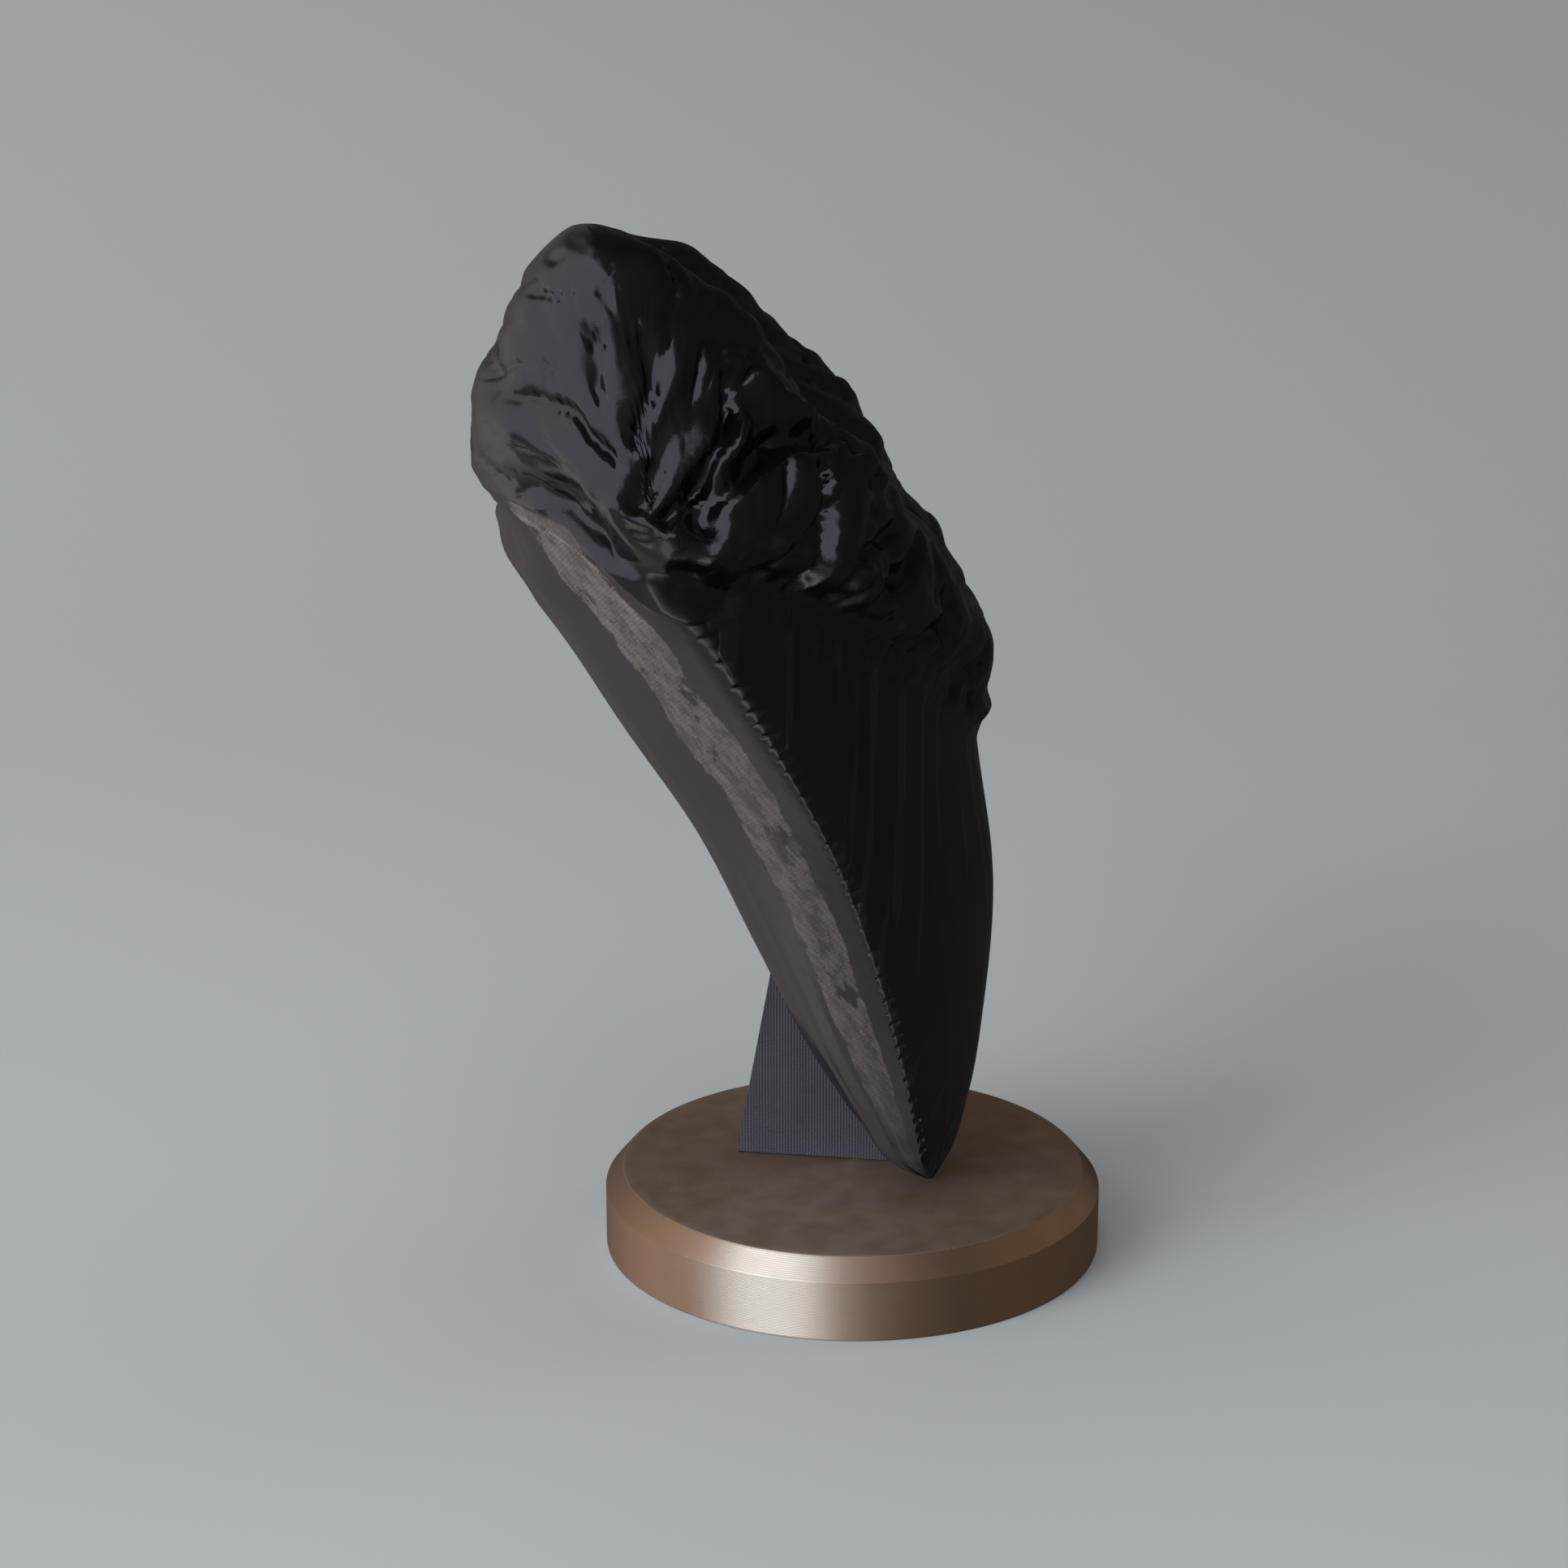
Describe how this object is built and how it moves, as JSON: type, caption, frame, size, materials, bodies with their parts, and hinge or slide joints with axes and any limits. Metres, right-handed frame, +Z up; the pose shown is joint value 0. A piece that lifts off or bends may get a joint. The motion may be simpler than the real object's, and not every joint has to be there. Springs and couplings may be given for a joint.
{
  "type": "megalodon tooth",
  "caption": "Large triangular shark tooth with finely serrated edges and a furrowed forked root, standing on its tip against a small wedge on a round bevelled disc.",
  "frame": {"origin": "centre of the disc's flat underside", "axes": "+Z up through the disc's centre; the tooth's bulging tongue side faces -Y, its flatter lip side and the wedge are towards +Y, and its serrated edges face -X and +X"},
  "size_m": [0.1349, 0.0974, 0.1714],
  "materials": {
    "tooth": "glossy black",
    "support_wedge": "satin dark violet",
    "base_disc": "copper-coloured satin"
  },
  "bodies": {
    "root": {"tooth": "tooth", "support_wedge": "support_wedge", "base_disc": "base_disc"}
  },
  "joints": []
}
